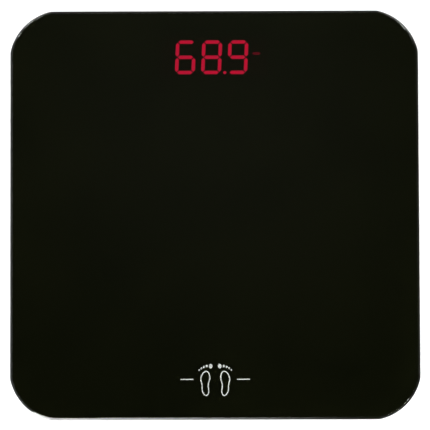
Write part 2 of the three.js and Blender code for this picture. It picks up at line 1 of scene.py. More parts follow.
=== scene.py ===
# %% [markdown]
# # A glass bathroom scale
#
# This lesson builds the looks of a digital bathroom scale: a square of tempered glass on four feet
# that weigh, with a red display shining through the glass. The design itself, with every size and
# every moving part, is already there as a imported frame. We only make fine surfaces and finishes
# that sit where the frame's pieces sit.
#
# Blender works in metres. MM turns millimetres, which is how a maker thinks of such a thing, into
# metres.

# %% Load the frame
import math

import bmesh
import bpy
from mathutils import Matrix, Vector


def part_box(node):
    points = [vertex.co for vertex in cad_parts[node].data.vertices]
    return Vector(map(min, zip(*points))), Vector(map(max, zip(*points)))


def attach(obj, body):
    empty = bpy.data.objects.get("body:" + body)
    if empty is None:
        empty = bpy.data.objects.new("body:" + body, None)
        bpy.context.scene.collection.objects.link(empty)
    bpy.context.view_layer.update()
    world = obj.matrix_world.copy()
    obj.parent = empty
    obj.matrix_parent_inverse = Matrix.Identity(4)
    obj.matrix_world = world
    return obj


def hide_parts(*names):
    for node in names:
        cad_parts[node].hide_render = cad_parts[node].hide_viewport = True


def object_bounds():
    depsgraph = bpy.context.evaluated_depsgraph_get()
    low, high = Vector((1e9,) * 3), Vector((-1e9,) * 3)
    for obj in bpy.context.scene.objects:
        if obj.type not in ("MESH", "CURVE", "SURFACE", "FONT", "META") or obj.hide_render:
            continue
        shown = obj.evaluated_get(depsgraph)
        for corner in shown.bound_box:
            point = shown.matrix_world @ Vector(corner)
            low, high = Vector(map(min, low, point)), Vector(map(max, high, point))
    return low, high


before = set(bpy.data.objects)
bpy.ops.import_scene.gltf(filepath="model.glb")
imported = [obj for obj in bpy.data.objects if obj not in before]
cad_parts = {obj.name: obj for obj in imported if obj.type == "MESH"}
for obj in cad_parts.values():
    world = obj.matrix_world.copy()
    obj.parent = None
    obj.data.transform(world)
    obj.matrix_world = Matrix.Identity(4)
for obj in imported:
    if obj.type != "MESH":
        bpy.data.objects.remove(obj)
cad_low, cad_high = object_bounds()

MM = 0.001
origin = Vector((0, 0, 0))
scene = bpy.context.scene


def mm(x, y, z=0.0):
    """A point given in millimetres."""
    return Vector((x, y, z)) * MM


# %% [markdown]
# ## The camera
#
# The scale is shown lying on the floor, seen from almost straight above by a long lens, so that its
# sides look parallel. A camera can be placed by hand, but three numbers say it better: how high it
# stands above the horizon, how far away it is, and how wide a strip of the platform it takes in.
# From these the lens follows.

# %% Place the camera
camera_elevation = math.radians(88.0)
camera_distance = 1.17
camera_roll = math.radians(-0.19)
view_width = 314.95 * MM
far_clip = 50
aim = mm(0.2, -0.45) + Vector((0, 0, cad_high.z))

camera = bpy.data.objects.new("camera", bpy.data.cameras.new("camera"))
camera.data.sensor_width = 36
camera.data.lens = camera.data.sensor_width * camera_distance / view_width
camera.data.clip_end = far_clip
towards_camera = Vector((0, -math.cos(camera_elevation), math.sin(camera_elevation)))
camera.location = aim + towards_camera * camera_distance
upright = (-towards_camera).to_track_quat("-Z", "Y")
camera.rotation_euler = (upright.to_matrix() @ Matrix.Rotation(camera_roll, 3, "Z")).to_euler()
scene.collection.objects.link(camera)
scene.camera = camera
print("the lens is", round(camera.data.lens), "mm")

# %% [markdown]
# ## A short way of writing shaders
#
# Every finish below is worked out by nodes. Laying out nodes one by one takes many lines, so two
# small classes do it. A Signal is one socket: adding, multiplying or comparing Signals adds the
# Math nodes that do so. A Finish is a material: its node method adds any other node, sets what the
# node needs, and links or fills its sockets.

# %% Signals and finishes
class Signal:
    """One output of a finish's nodes, ready for arithmetic."""

    def __init__(self, finish, socket):
        self.finish = finish
        self.socket = socket

    def maths(self, operation, *values):
        inputs = dict(enumerate(values))
        return self.finish.node("Math", {"operation": operation}, inputs)

    def __add__(self, other):
        return self.maths("ADD", self, other)

    def __radd__(self, other):
        return self.maths("ADD", other, self)

    def __rsub__(self, other):
        return self.maths("SUBTRACT", other, self)

    def __mul__(self, other):
        return self.maths("MULTIPLY", self, other)

    def __rmul__(self, other):
        return self.maths("MULTIPLY", other, self)

    def __abs__(self):
        return self.maths("ABSOLUTE", self)

    def larger(self, other):
        return self.maths("MAXIMUM", self, other)

    def between(self, low, high):
        """0 up to low, 1 from high, and a smooth step in between."""
        inputs = {"Value": self, "From Min": low, "From Max": high}
        return self.finish.node("MapRange", {"interpolation_type": "SMOOTHSTEP"}, inputs)


class Finish:
    """A material whose Principled shader has these constant sockets."""

    def __init__(self, name, **constants):
        self.material = bpy.data.materials.new(name)
        self.material.use_nodes = True
        self.tree = self.material.node_tree
        self.shader = self.tree.nodes["Principled BSDF"]
        self.output = self.tree.nodes["Material Output"]
        for socket, value in constants.items():
            self.shader.inputs[socket.replace("_", " ")].default_value = value

    def node(self, kind, settings=None, inputs=None, out=0):
        made = self.tree.nodes.new("ShaderNode" + kind)
        for name, value in (settings or {}).items():
            setattr(made, name, value)
        for name, value in (inputs or {}).items():
            self.feed(made.inputs[name], value)
        return Signal(self, made.outputs[out])

    def feed(self, socket, value):
        if isinstance(value, Signal):
            self.tree.links.new(value.socket, socket)
        else:
            socket.default_value = value

    def varies(self, **signals):
        """Links signals to the Principled shader's sockets."""
        for socket, value in signals.items():
            self.feed(self.shader.inputs[socket.replace("_", " ")], value)

    def place(self, scale=(1, 1, 1)):
        """Where a point is on the piece, in metres."""
        spot = self.node("TexCoord", out="Object")
        return self.node("Mapping", {}, {"Vector": spot, "Scale": scale})

    def noise(self, grain, detail, stretch=(1, 1, 1)):
        """Cloudy noise whose patches are about grain metres across."""
        inputs = {"Vector": self.place(stretch), "Scale": 1 / grain, "Detail": detail}
        return self.node("TexNoise", {}, inputs)

    def mix(self, factor, first, second):
        return self.node("Mix", {"data_type": "RGBA"}, {0: factor, 6: first, 7: second}, out=2)

    def bump(self, height, depth, strength=1.0):
        """A normal for a height signal that runs from 0 to 1 over depth metres."""
        return self.node("Bump", {}, {"Height": height, "Distance": depth, "Strength": strength})

    def clears(self, where, colour=(1, 1, 1, 1)):
        """Lets light straight through where the signal is 1."""
        solid = Signal(self, self.shader.outputs[0])
        clear = self.node("BsdfTransparent", {}, {"Color": colour})
        seen = self.node("MixShader", {}, {0: where, 1: solid, 2: clear})
        self.feed(self.output.inputs["Surface"], seen)


def grey(level, warmth=0.0):
    """A neutral linear colour, or one a little warmer."""
    return (level * (1 + warmth), level, level * (1 - warmth), 1)


finishes = {}
print("shader helpers ready")

# %% [markdown]
# ## Tools for making pieces
#
# Nearly everything on a scale is one of two things. A flat moulding or a sheet is an outline with
# rounded corners, raised to a thickness, with its rims eased. A foot, a ring or a button is a
# profile turned about an upright line, as on a lathe. So we need an outline, a way to raise it, a
# lathe, and a way to cut one body out of another. bmesh has an operator for each.

# %% Outlines and slabs
def only(kind, geom):
    """The vertices or the faces among what an operator made."""
    return [made for made in geom if isinstance(made, kind)]


def outline(bm, low, high, z, radius, kink=0.0, steps=8):
    """A filled rectangle whose corners are arcs. Each arc crosses its two sides at the kink angle."""
    reach = radius * math.cos(kink)
    ends = []
    for quarter, (sx, sy) in enumerate(((1, 1), (-1, 1), (-1, -1), (1, -1))):
        centre = Vector((
            high.x - reach if sx > 0 else low.x + reach,
            high.y - reach if sy > 0 else low.y + reach,
            z,
        ))
        start = quarter * math.pi / 2 + kink
        first = bm.verts.new(centre + radius * Vector((math.cos(start), math.sin(start), 0)))
        arc = bmesh.ops.spin(
            bm, geom=[first], cent=centre, axis=(0, 0, 1), angle=math.pi / 2 - 2 * kink, steps=steps,
        )
        ends.append((first, only(bmesh.types.BMVert, arc["geom_last"])[0]))
    for (_, last), (first, _) in zip(ends, ends[1:] + ends[:1]):
        bm.edges.new((last, first))
    return bmesh.ops.contextual_create(bm, geom=bm.edges[:])["faces"]


def raised(bm, faces, height):
    """Pulls faces up by height, which closes the body below them."""
    made = bmesh.ops.extrude_face_region(bm, geom=faces)["geom"]
    bmesh.ops.translate(bm, verts=only(bmesh.types.BMVert, made), vec=(0, 0, height))
    bmesh.ops.recalc_face_normals(bm, faces=bm.faces)
    bm.normal_update()


def edges_at(bm, z):
    """The edges that lie at one height."""
    return [e for e in bm.edges if all(abs(v.co.z - z) < 1e-7 for v in e.verts)]


def eased(bm, edges, width, segments=2):
    """Rounds edges over."""
    bmesh.ops.bevel(
        bm, geom=edges, offset=width, offset_type="OFFSET", segments=segments,
        profile=0.5, affect="EDGES", clamp_overlap=True, material=-1,
    )


def slab(low, high, radius, ease=0.0, kink=0.0, steps=8):
    """A flat body between two corners of its box, with its top and bottom rims eased."""
    bm = bmesh.new()
    raised(bm, outline(bm, low, high, low.z, radius, kink, steps), high.z - low.z)
    if ease:
        eased(bm, edges_at(bm, low.z) + edges_at(bm, high.z), ease)
    return bm


print("a slab of", len(slab(origin, mm(50, 50, 5), 5 * MM, 0.5 * MM).faces), "faces")


# %% The lathe
def turned(profile, centre=origin, steps=96):
    """Turns a profile of (radius, height, easing) points in millimetres about the upright line
    through centre. A profile that doesn't start on that line is closed into a ring."""
    bm = bmesh.new()
    points = [bm.verts.new((centre.x + r * MM, centre.y, z * MM)) for r, z, _ in profile]
    for pair in zip(points, points[1:]):
        bm.edges.new(pair)
    if profile[0][0] > 0:
        bm.edges.new((points[-1], points[0]))
    for width in sorted({ease for _, _, ease in profile if ease}):
        corners = [v for v, (_, _, ease) in zip(points, profile) if ease == width]
        bmesh.ops.bevel(
            bm, geom=corners, offset=width * MM, offset_type="OFFSET", segments=3,
            profile=0.5, affect="VERTICES", material=-1,
        )
    bmesh.ops.spin(
        bm, geom=bm.verts[:] + bm.edges[:], cent=(centre.x, centre.y, 0), axis=(0, 0, 1),
        angle=2 * math.pi, steps=steps, use_merge=True,
    )
    bmesh.ops.remove_doubles(bm, verts=bm.verts, dist=1e-7)
    bmesh.ops.recalc_face_normals(bm, faces=bm.faces)
    return bm


print("a turned disc of", len(turned([(0, 0, 0), (5, 0, 0.5), (5, 2, 0.5), (0, 2, 0)]).faces), "faces")


# %% Cutting and joining
def in_scene(name, bm):
    """A bmesh as an object of its own."""
    mesh = bpy.data.meshes.new(name)
    bm.to_mesh(mesh)
    bm.free()
    made = bpy.data.objects.new(name, mesh)
    scene.collection.objects.link(made)
    return made


def combined(operation, bm, *tools):
    """One body with others joined to it or cut out of it."""
    body, *parts = [in_scene("scratch", each) for each in (bm, *tools)]
    for part in parts:
        modifier = body.modifiers.new(operation, "BOOLEAN")
        modifier.operation = operation
        modifier.solver = "EXACT"
        modifier.object = part
    ready = body.evaluated_get(bpy.context.evaluated_depsgraph_get())
    result = bmesh.new()
    result.from_mesh(ready.to_mesh())
    ready.to_mesh_clear()
    for spare in (body, *parts):
        bpy.data.meshes.remove(spare.data)
    bmesh.ops.remove_doubles(result, verts=result.verts, dist=1e-6)
    return result


def cut(bm, *tools):
    return combined("DIFFERENCE", bm, *tools)


def joined(bm, *tools):
    return combined("UNION", bm, *tools)


print("cutting and joining ready")


# %% Boxes, moves and softening
def sharp_edges(bm, angle=30):
    limit = math.radians(angle)
    return [e for e in bm.edges if e.is_manifold and e.calc_face_angle() > limit]


def moved(bm, way):
    """Moves a body."""
    bmesh.ops.translate(bm, verts=bm.verts, vec=way)
    return bm


def swung(bm, degrees, axis="Z", about=origin):
    """Turns a body about a line that runs along an axis."""
    turn = Matrix.Rotation(math.radians(degrees), 3, axis)
    bmesh.ops.rotate(bm, verts=bm.verts, cent=about, matrix=turn)
    return bm


def mm_box(low, high):
    """A plain box from two corners in millimetres, to cut with or to join on."""
    low, high = mm(*low), mm(*high)
    bm = bmesh.new()
    bmesh.ops.create_cube(bm, size=1)
    bmesh.ops.scale(bm, verts=bm.verts, vec=high - low)
    return moved(bm, (low + high) / 2)


def refined(node, ease):
    """A copy of a frame piece with its triangles merged into flat faces and its edges rounded."""
    bm = bmesh.new()
    bm.from_mesh(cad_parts[node].data)
    bmesh.ops.remove_doubles(bm, verts=bm.verts, dist=1e-6)
    bmesh.ops.dissolve_limit(
        bm, angle_limit=math.radians(1), verts=bm.verts, edges=bm.edges, delimit={"NORMAL"},
    )
    eased(bm, sharp_edges(bm), ease)
    return bm


print("a box of", len(mm_box((0, 0, 0), (1, 1, 1)).faces), "faces")


# %% From a bmesh to a finished piece
smooth_angle = math.radians(35)


def piece(name, bm, slot, stands_for=None, body="platform", finish=None):
    """A piece on a body, in its slot's finish or another. It may stand for a frame piece."""
    made = in_scene(name, bm)
    made.data.shade_smooth()
    made.data.set_sharp_from_angle(angle=smooth_angle)
    made.data.materials.append((finish or finishes[slot]).material)
    flats = made.modifiers.new("flats_stay_flat", "WEIGHTED_NORMAL")
    flats.keep_sharp = True
    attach(made, body)
    if stands_for:
        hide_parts(stands_for)
    return made


print("pieces can be made")

# %% [markdown]
# ## The platform glass
#
# The platform is one pane of 6 mm tempered glass. Its corners are ground round, and the upper rim
# carries a flat polished arris, so that no edge cuts a foot. The lower rim is only seamed. The
# grinding wheel runs into each corner at a slight angle, which leaves a faint kink where the corner
# meets the side.
#
# An outline with kinked corners, raised and bevelled with a single flat segment, is the ground pane.
# Lifting the lower line of the upper bevel makes the arris a little flatter than 45 degrees, as a
# polisher's wheel leaves it. A last, very narrow bevel takes the razor line off. That line is what
# catches the light on real glass.

# %% Make the pane
corner_radius = 38.5 * MM
corner_kink = math.radians(11.6)
arris = 1.85 * MM
arris_lift = 0.30 * MM
seam = 0.6 * MM
arris_ease = 0.12 * MM
glass_low, glass_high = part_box("glass_platform")

pane = slab(glass_low, glass_high, corner_radius, kink=corner_kink, steps=40)
eased(pane, edges_at(pane, glass_low.z), seam, segments=1)
eased(pane, edges_at(pane, glass_high.z), arris, segments=1)
arris_foot = [v for v in pane.verts if abs(v.co.z - (glass_high.z - arris)) < arris_ease]
bmesh.ops.translate(pane, verts=arris_foot, vec=(0, 0, arris_lift))
level_edges = [e for e in sharp_edges(pane, 20) if abs(e.verts[0].co.z - e.verts[1].co.z) < arris_ease]
eased(pane, level_edges, arris_ease)
print("the pane has", len(pane.faces), "faces")

# %% [markdown]
# ## A finish for the glass
#
# Glass is one shader: it lets light through and bends it. Two things make it look right. Float
# glass is a little green through its thickness. And a lamp's light has to reach what lies under the
# pane, so for shadow rays alone the pane is clear. A very faint haze, left by wiping, keeps the
# reflection from being perfect.

# %% Tempered glass
def tempered_glass():
    finish = Finish(
        "tempered_glass", Base_Color=(0.93, 0.975, 0.95, 1), IOR=1.52, Transmission_Weight=1.0,
    )
    wiped = finish.noise(22 * MM, 3, stretch=(1, 0.35, 1))
    finish.varies(Roughness=0.004 + 0.014 * wiped.between(0.45, 0.75))
    finish.clears(finish.node("LightPath", out="Is Shadow Ray"), (0.9, 0.94, 0.92, 1))
    return finish


finishes["tempered_glass"] = tempered_glass()
piece("glass_pane", pane, "tempered_glass", "glass_platform")
print("glass on")

# %% [markdown]
# ## The print on the back
#
# The black that we see isn't on top: it is enamel, screen-printed on the back of the pane and fired
# on. So it lies bonded to the glass, with no air between. We let the print reach a hair into the
# pane, which gives that bond: no second reflection, and a deep, wet black. It runs right up to the
# seamed rim, and leaves a window for the display.

# %% Print and window pane
bond = 0.03 * MM
print_margin = 0.05 * MM
print_low, print_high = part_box("back_print")
window_low, window_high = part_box("display_filter")
inset = seam + print_margin
print_corner = corner_radius - inset

sheet = slab(
    Vector((glass_low.x + inset, glass_low.y + inset, print_low.z)),
    Vector((glass_high.x - inset, glass_high.y - inset, print_high.z + bond)),
    print_corner, kink=corner_kink, steps=40,
)
window_gap = mm(0.1, 0.1, 2)
window_fit = mm(0.09, 0.09)
window_corner = 2 * MM
sheet = cut(sheet, slab(window_low - window_gap, window_high + window_gap, window_corner))
window_high.z += bond
window_pane = slab(window_low - window_fit, window_high + window_fit, window_corner)
print("print of", len(sheet.faces), "faces")


# %% Fired enamel and smoked film
def black_print():
    """Bonded above, so without a gloss of its own. Its free lower face is a dull, fired gloss."""
    finish = Finish("black_print", Specular_IOR_Level=0.0, Coat_Roughness=0.42)
    cloud = finish.noise(60 * MM, 2)
    grain = finish.noise(0.35 * MM, 3)
    height = finish.node("SeparateXYZ", {}, {0: finish.place()}, out="Z")
    free = 1 - height.between(print_low.z + 0.05 * MM, print_low.z + 0.1 * MM)
    cloud = cloud.between(0.3, 0.7)
    bonded = finish.mix(cloud, (0.0010, 0.00115, 0.0003, 1), (0.0013, 0.00145, 0.0004, 1))
    finish.varies(
        Base_Color=finish.mix(free, bonded, grey(0.012)), Coat_Weight=free * 0.8,
        Roughness=0.42 + 0.12 * grain, Normal=finish.bump(grain, 0.012 * MM),
    )
    return finish


def smoked_filter():
    finish = Finish("smoked_filter", Specular_IOR_Level=0.0)
    grain = finish.noise(0.5 * MM, 2)
    shade = finish.mix(grain, (0.0012, 0.0011, 0.0003, 1), (0.0015, 0.0013, 0.0004, 1))
    finish.varies(Base_Color=shade, Roughness=0.3 + 0.08 * grain)
    return finish


finishes["black_print"] = black_print()
finishes["smoked_filter"] = smoked_filter()
piece("back_enamel", sheet, "black_print", "back_print")
piece("window_film", window_pane, "smoked_filter", "display_filter")
print("print and film on")

# %% [markdown]
# ## The lit digits
#
# Each digit is seven bars of light. Behind the smoked film sit wells with an LED each, and what
# reaches the eye is a soft-edged bar, brightest along its middle. A bar is a thin block whose
# upright edges are bevelled away to points, leaning a little, as the digits of a display do. Its
# face is inset once, and an attribute called glow is 1 inside and 0 round the rim, so that the
# finish can fade the light towards the edge.

# %% One bar of light
digit_height = 25.4 * MM
digit_width = 15.1 * MM
digit_pitch = 19.3 * MM
digit_lean = math.tan(math.radians(2.5))
bar_width = 2.9 * MM
bar_gap = 0.35 * MM
bar_point = 0.46
soft_rim = 0.78 * MM
small_rim = 0.5 * MM
light_low = print_high.z + bond
light_thickness = 0.02 * MM
middle_digit_x = -1.9 * MM
digits_y = (window_low.y + window_high.y) / 2


def lit_bar(bm, start, end, width):
    """A flat bar from start to end, its ends bevelled to points."""
    along = end - start
    made = bmesh.ops.create_grid(bm, x_segments=1, y_segments=1, size=0.5)["verts"]
    turn = Matrix.Rotation(math.atan2(along.y, along.x), 4, "Z")
    middle = (start + end) / 2
    middle.z = light_low
    size = Matrix.Diagonal((along.length, width, 1, 1))
    bmesh.ops.transform(bm, verts=made, matrix=Matrix.Translation(middle) @ turn @ size)
    bmesh.ops.bevel(
        bm, geom=made, offset=width * bar_point, offset_type="OFFSET", segments=1,
        profile=0.5, affect="VERTICES", material=-1,
    )


def light_piece(name, bm, rim, finish):
    """Raises flat shapes to thin bodies, insets their faces, and marks how brightly they glow."""
    raised(bm, bm.faces[:], light_thickness)
    glow = bm.verts.layers.float.new("glow")
    for top in [f for f in bm.faces if f.normal.z > 0.9]:
        bmesh.ops.inset_region(bm, faces=[top], thickness=rim, use_even_offset=True)
        for v in top.verts:
            v[glow] = 1.0
    piece(name, bm, "diffuser_film", finish=finish)


print("bars are", round(bar_width / MM, 1), "mm wide")


# %% [markdown]
# The light itself is an Emission Color that follows the glow attribute: full red in the middle,
# dimmer and deeper towards the rim. The small bar that stands for the unit is on the same chip, but
# far weaker.

# %% LED light
def led_light(name, level):
    finish = Finish(
        name, Base_Color=(0.004, 0.001, 0.001, 1), Specular_IOR_Level=0.0,
        Emission_Strength=level,
    )
    glow = finish.node("Attribute", {"attribute_name": "glow"}, out="Fac")
    uneven = finish.noise(5 * MM, 1)
    shade = finish.mix(glow.between(0.0, 0.9), (0.16, 0.001, 0.007, 1), (0.62, 0.003, 0.034, 1))
    shade = finish.mix(0.28 * uneven.between(0.35, 0.7), shade, (0.44, 0.012, 0.045, 1))
    finish.varies(Emission_Color=shade)
    return finish


digit_level = 0.78
unit_level = 0.13
finishes["led_light"] = led_light("led_light", digit_level)
finishes["led_faint"] = led_light("led_faint", unit_level)
print("the unit's bar glows", round(digit_level / unit_level), "times weaker than a digit")

# %% Set the digits to 6 8 . 9
corner = Vector(((digit_width - bar_width) / 2, (digit_height - bar_width) / 2, 0))
bar_ends = {
    "top": ((-1, 1), (1, 1)), "upper_right": ((1, 1), (1, 0)), "lower_right": ((1, 0), (1, -1)),
    "bottom": ((-1, -1), (1, -1)), "lower_left": ((-1, 0), (-1, -1)), "upper_left": ((-1, 1), (-1, 0)),
    "middle": ((-1, 0), (1, 0)),
}
dark_bars = {"6": {"upper_right"}, "8": set(), "9": {"lower_left"}}


def lit_digit(figure, place):
    """A leaning digit, so many places to the right of the middle one."""
    bm = bmesh.new()
    for name, ends in bar_ends.items():
        if name in dark_bars[figure]:
            continue
        start, end = (Vector((x * corner.x, y * corner.y, 0)) for x, y in ends)
        gap = (end - start).normalized() * bar_gap
        lit_bar(bm, start + gap, end - gap, bar_width)
    lean = Matrix.Identity(4)
    lean[0][1] = digit_lean
    centre = Vector((middle_digit_x + place * digit_pitch, digits_y, 0))
    bmesh.ops.transform(bm, verts=bm.verts, matrix=Matrix.Translation(centre) @ lean)
    light_piece(f"lit_digit_{figure}", bm, soft_rim, finishes["led_light"])


for place, figure in enumerate("689", start=-1):
    lit_digit(figure, place)

point_radius = 1.25 * MM
point_rise = 1.3 * MM
point_y = digits_y - digit_height / 2 + point_rise
point = bmesh.new()
bmesh.ops.create_circle(point, cap_ends=True, segments=24, radius=point_radius)
moved(point, Vector((middle_digit_x + digit_pitch / 2, point_y, light_low)))
light_piece("lit_point", point, small_rim, finishes["led_light"])

unit_start = mm(27.9, 2.7) + Vector((0, digits_y, 0))
unit_length = mm(6.3, 0)
unit_width = 2.2 * MM
unit_bar = bmesh.new()
lit_bar(unit_bar, unit_start, unit_start + unit_length, unit_width)
light_piece("lit_unit_bar", unit_bar, small_rim, finishes["led_faint"])
print("the display reads 68.9")

# %% [markdown]
# ## The printed mark
#
# A light grey mark is printed near the edge where one steps on. Here it is a plain pictogram that
# says what to do: a pair of bare feet between two short rules. A sole is a circle drawn long, with
# a waist, and turned into a thin line by an inset. The toes are small discs.

# %% A sole, its toes and the rules
mark_y = -120.7 * MM
sole_length = 18.5 * MM
sole_width = 8.8 * MM
line_width = 0.75 * MM
foot_spread = 6.6 * MM
sole_drop = 3.0 * MM
rule_length = 9.5 * MM
mark_half_width = 25.5 * MM


def sole_outline(bm, side):
    """The outline of a bare sole as a thin line."""
    made = bmesh.ops.create_circle(bm, cap_ends=True, segments=64, radius=0.5)["verts"]
    for v in made:
        share = v.co.y * 2
        waist = 1 - 0.3 * math.exp(-(((share + 0.15) / 0.42) ** 2)) - 0.16 * (1 - share) / 2
        bend = 0.1 * math.cos(share * math.pi / 2)
        v.co.x = v.co.x * waist + side * bend
    bmesh.ops.scale(bm, verts=made, vec=(sole_width, sole_length, 1))
    bmesh.ops.translate(bm, verts=made, vec=(side * foot_spread, mark_y - sole_drop, light_low))
    face = made[0].link_faces[0]
    bmesh.ops.inset_region(
        bm, faces=[face], thickness=line_width, use_even_offset=True, use_boundary=True,
    )
    bmesh.ops.delete(bm, geom=[face], context="FACES_ONLY")


def toes(bm, side):
    """Five discs on an arc over the sole, the big toe innermost."""
    sizes = (1.6, 0.95, 0.85, 0.75, 0.65)
    reaches = (-3.3, -0.35, 1.75, 3.6, 5.2)
    drops = (0, -0.1, 0.55, 1.5, 2.8)
    for radius, reach, drop in zip(sizes, reaches, drops):
        x = side * (foot_spread + reach * MM)
        y = mark_y + (9.6 - drop) * MM
        made = bmesh.ops.create_circle(bm, cap_ends=True, segments=20, radius=radius * MM)["verts"]
        bmesh.ops.scale(bm, verts=made, vec=(0.8, 1.05, 1))
        bmesh.ops.translate(bm, verts=made, vec=(x, y, light_low))


mark = bmesh.new()
for side in (-1, 1):
    sole_outline(mark, side)
    toes(mark, side)
    rule = bmesh.ops.create_grid(mark, x_segments=1, y_segments=1, size=0.5)["verts"]
    bmesh.ops.scale(mark, verts=rule, vec=(rule_length, line_width, 1))
    rule_x = side * (mark_half_width - rule_length / 2)
    bmesh.ops.translate(mark, verts=rule, vec=(rule_x, mark_y, light_low))
raised(mark, mark.faces[:], light_thickness)
print("the mark has", len(mark.faces), "faces")


# %% Grey ink
def grey_ink():
    finish = Finish("grey_ink", Specular_IOR_Level=0.0)
    screen = finish.noise(0.3 * MM, 2)
    shade = finish.mix(screen, grey(0.215, 0.02), grey(0.25, 0.02))
    finish.varies(Base_Color=shade, Roughness=0.6 + 0.1 * screen)
    return finish


finishes["grey_ink"] = grey_ink()
piece("feet_mark", mark, "black_print", finish=finishes["grey_ink"])
print("mark printed")

# %% [markdown]
# ## Finishes for plastic, rubber and metal
#
# Everything under the glass is moulded, turned or stamped. Mould steel is etched, so a moulded face
# has a fine grain that breaks up the light. Stamped and drawn metal has fine scratches that run one
# way. Two functions are enough for nearly all slots, and two tables say what each slot needs.

# %% Moulded and metal finishes
def moulded(name, dark, light, roughness, grain, depth):
    """Plastic or rubber: a fine grain from the mould and a faint cloud of tone."""
    finish = Finish(name)
    cloud = finish.noise(30 * grain, 2)
    pits = finish.noise(grain, 3)
    finish.varies(
        Base_Color=finish.mix(cloud, dark, light),
        Roughness=roughness + 0.14 * pits, Normal=finish.bump(pits, depth),
    )
    return finish


def metal(name, dark, light, roughness, lay):
    """Bare metal. lay is small along the scratches and 1 across them."""
    finish = Finish(name, Metallic=1.0)
    scratches = finish.noise(0.12 * MM, 3, stretch=lay)
    stains = finish.noise(5 * MM, 3)
    shade = finish.mix(stains.between(0.35, 0.75), light, dark)
    finish.varies(
        Base_Color=shade, Roughness=roughness + 0.16 * scratches + 0.06 * stains,
        Normal=finish.bump(scratches, 0.004 * MM, 0.6),
    )
    return finish


moulded_recipes = {
    "housing_plastic": (grey(0.024), grey(0.033), 0.48, 0.28 * MM, 0.02 * MM),
    "foot_plastic": (grey(0.030), grey(0.040), 0.40, 0.22 * MM, 0.01 * MM),
    "foot_rubber": (grey(0.040, 0.02), grey(0.056, 0.02), 0.74, 0.10 * MM, 0.02 * MM),
    "lead_sheath": (grey(0.030), grey(0.045), 0.42, 0.30 * MM, 0.01 * MM),
    "clip_plastic": (grey(0.55, 0.02), grey(0.62, 0.02), 0.36, 0.40 * MM, 0.008 * MM),
    "button_plastic": (grey(0.32), grey(0.37), 0.38, 0.20 * MM, 0.008 * MM),
    "switch_plastic": (grey(0.016), grey(0.024), 0.40, 0.20 * MM, 0.008 * MM),
    "reflector_plastic": (grey(0.016), grey(0.024), 0.55, 0.20 * MM, 0.01 * MM),
    "gauge_coating": ((0.82, 0.79, 0.71, 1), (0.88, 0.86, 0.80, 1), 0.46, 0.60 * MM, 0.03 * MM),
    "wire_red": ((0.42, 0.012, 0.012, 1), (0.52, 0.02, 0.018, 1), 0.34, 0.30 * MM, 0.006 * MM),
    "wire_black": (grey(0.014), grey(0.022), 0.34, 0.30 * MM, 0.006 * MM),
    "chip_epoxy": (grey(0.007), grey(0.013), 0.24, 0.90 * MM, 0.03 * MM),
    "capacitor_resin": ((0.52, 0.25, 0.04, 1), (0.62, 0.33, 0.07, 1), 0.28, 0.80 * MM, 0.02 * MM),
}
metal_recipes = {
    "cell_steel": (grey(0.50, 0.02), grey(0.62, 0.01), 0.30, (1, 0.04, 1)),
    "screw_steel": (grey(0.48), grey(0.60), 0.26, (1, 1, 0.1)),
    "contact_nickel": (grey(0.62, 0.04), grey(0.72, 0.03), 0.22, (1, 1, 0.05)),
}
for name, recipe in moulded_recipes.items():
    finishes[name] = moulded(name, *recipe)
for name, recipe in metal_recipes.items():
    finishes[name] = metal(name, *recipe)
print(len(finishes), "finishes so far")

# %% [markdown]
# ## The feet that weigh
#
# Each corner stands on a pod. From the glass down it holds a housing like an upturned cup, glued on
# by its roof; a stamped load cell on four short posts; and a foot cap whose boss carries the middle
# of the cell. A ring snaps into the cup and keeps the cap in. The rubber pad is bonded to the cap.
#
# All of these but the cell are turned bodies, so the lathe makes them: we give the half profile, and
# say by how much each corner is eased. The pad gets three grooves, which let water escape, and the
# ring three notches for the tool that opens it. Every foot is drawn at the origin with its lead
# leaving along +X, then turned and stood in its corner. From here on most sizes are in millimetres,
# as on a drawing.

# %% Stand a foot's piece in its corner
feet = {
    "front_left": (-1, -1, 90), "front_right": (1, -1, 90),
    "back_left": (-1, 1, 0), "back_right": (1, 1, 180),
}
foot_reach = 112.0


def stood(bm, foot):
    """Turns a foot's piece and moves it to its corner."""
    side, end, turn = feet[foot]
    return moved(swung(bm, turn), mm(side * foot_reach, end * foot_reach))


print("feet stand", round(foot_reach), "mm out from the middle")


# %% The pod housing, its ring, the foot cap and the pad
def pod_housing():
    cup = turned([
        (0, 15.4, 0), (28, 15.4, 0.6), (28, 6, 0.2), (30, 6, 0.2), (30, 7.5, 0.2), (29.7, 7.9, 0.15),
        (29.7, 17.2, 0.1), (0, 17.2, 0),
    ])
    post_profile = [(0, 13, 0), (2.4, 13, 0.2), (2.4, 15.9, 0), (0, 15.9, 0)]
    corners = [mm(x, y) for x in (-13.6, 13.6) for y in (-13.6, 13.6)]
    posts = [turned(post_profile, corner, 24) for corner in corners]
    lead_notch = mm_box((26, -1.3, 12.9), (31, 1.3, 15.5))
    return cut(joined(cup, *posts), lead_notch)


def pod_ring():
    ring = turned([
        (22.1, 4.4, 0.3), (24.3, 4.4, 0.12), (24.6, 4.7, 0.1), (25.5, 4.7, 0.1), (25.8, 4.4, 0.12),
        (30, 4.4, 0.45), (30, 6, 0.12), (27.7, 6, 0), (27.7, 9, 0.3), (26.2, 9, 0.3), (26.2, 6, 0.2),
        (22.1, 6, 0.2),
    ])
    notches = [swung(mm_box((28.9, -1.6, 3), (31, 1.6, 5.2)), turn) for turn in (60, 180, 300)]
    return cut(ring, *notches)


